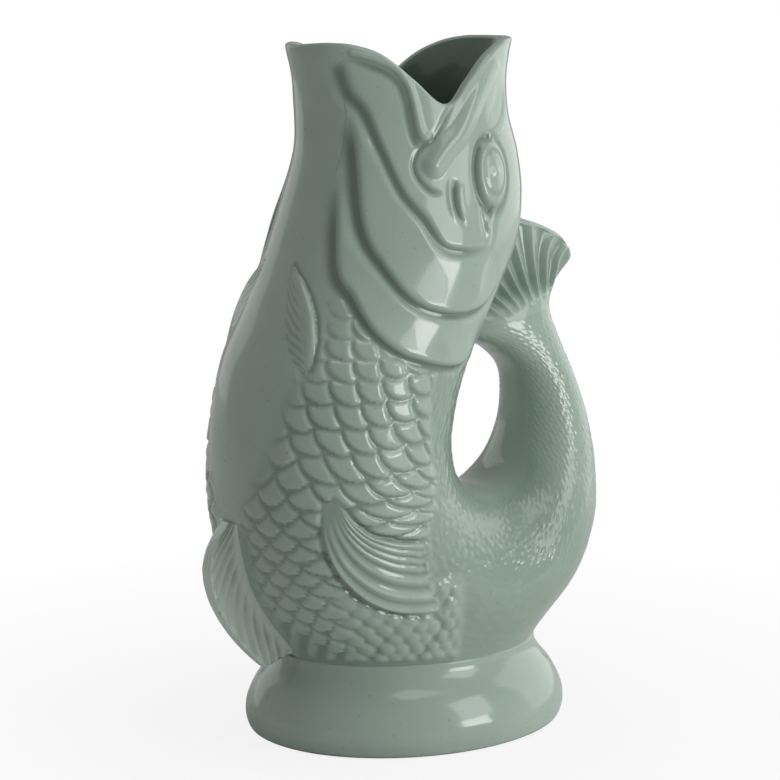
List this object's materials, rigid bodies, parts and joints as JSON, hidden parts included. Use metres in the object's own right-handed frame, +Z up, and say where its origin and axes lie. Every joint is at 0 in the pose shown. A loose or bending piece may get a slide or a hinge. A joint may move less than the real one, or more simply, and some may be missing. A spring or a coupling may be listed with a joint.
{
  "type": "gurgle jug",
  "caption": "Glazed fish-shaped jug on an oval foot, with an open mouth as the spout, a hollow curled tail as the handle, and raised fins and gill covers.",
  "frame": {"origin": "on the table under the jug, at the middle of its overall length and width", "axes": "+Z up, the fish and its pouring mouth's chin face -X, the tail handle is at +X, and the jug is symmetric about the plane y = 0"},
  "size_m": [0.1858, 0.119, 0.2901],
  "materials": {
    "glaze": "glossy sage green glaze"
  },
  "bodies": {
    "root": {"foot": "glaze", "belly": "glaze", "jaw": "glaze", "skull": "glaze", "tail": "glaze", "tail_fin": "glaze", "cheek_left": "glaze", "cheek_right": "glaze", "gill_cover_left": "glaze", "gill_cover_right": "glaze", "maxilla_left": "glaze", "maxilla_right": "glaze", "eye_left": "glaze", "eye_right": "glaze", "front_fin": "glaze", "rear_fin": "glaze", "breast_fin_left": "glaze", "breast_fin_right": "glaze", "side_fin_left": "glaze", "side_fin_right": "glaze"}
  },
  "joints": []
}
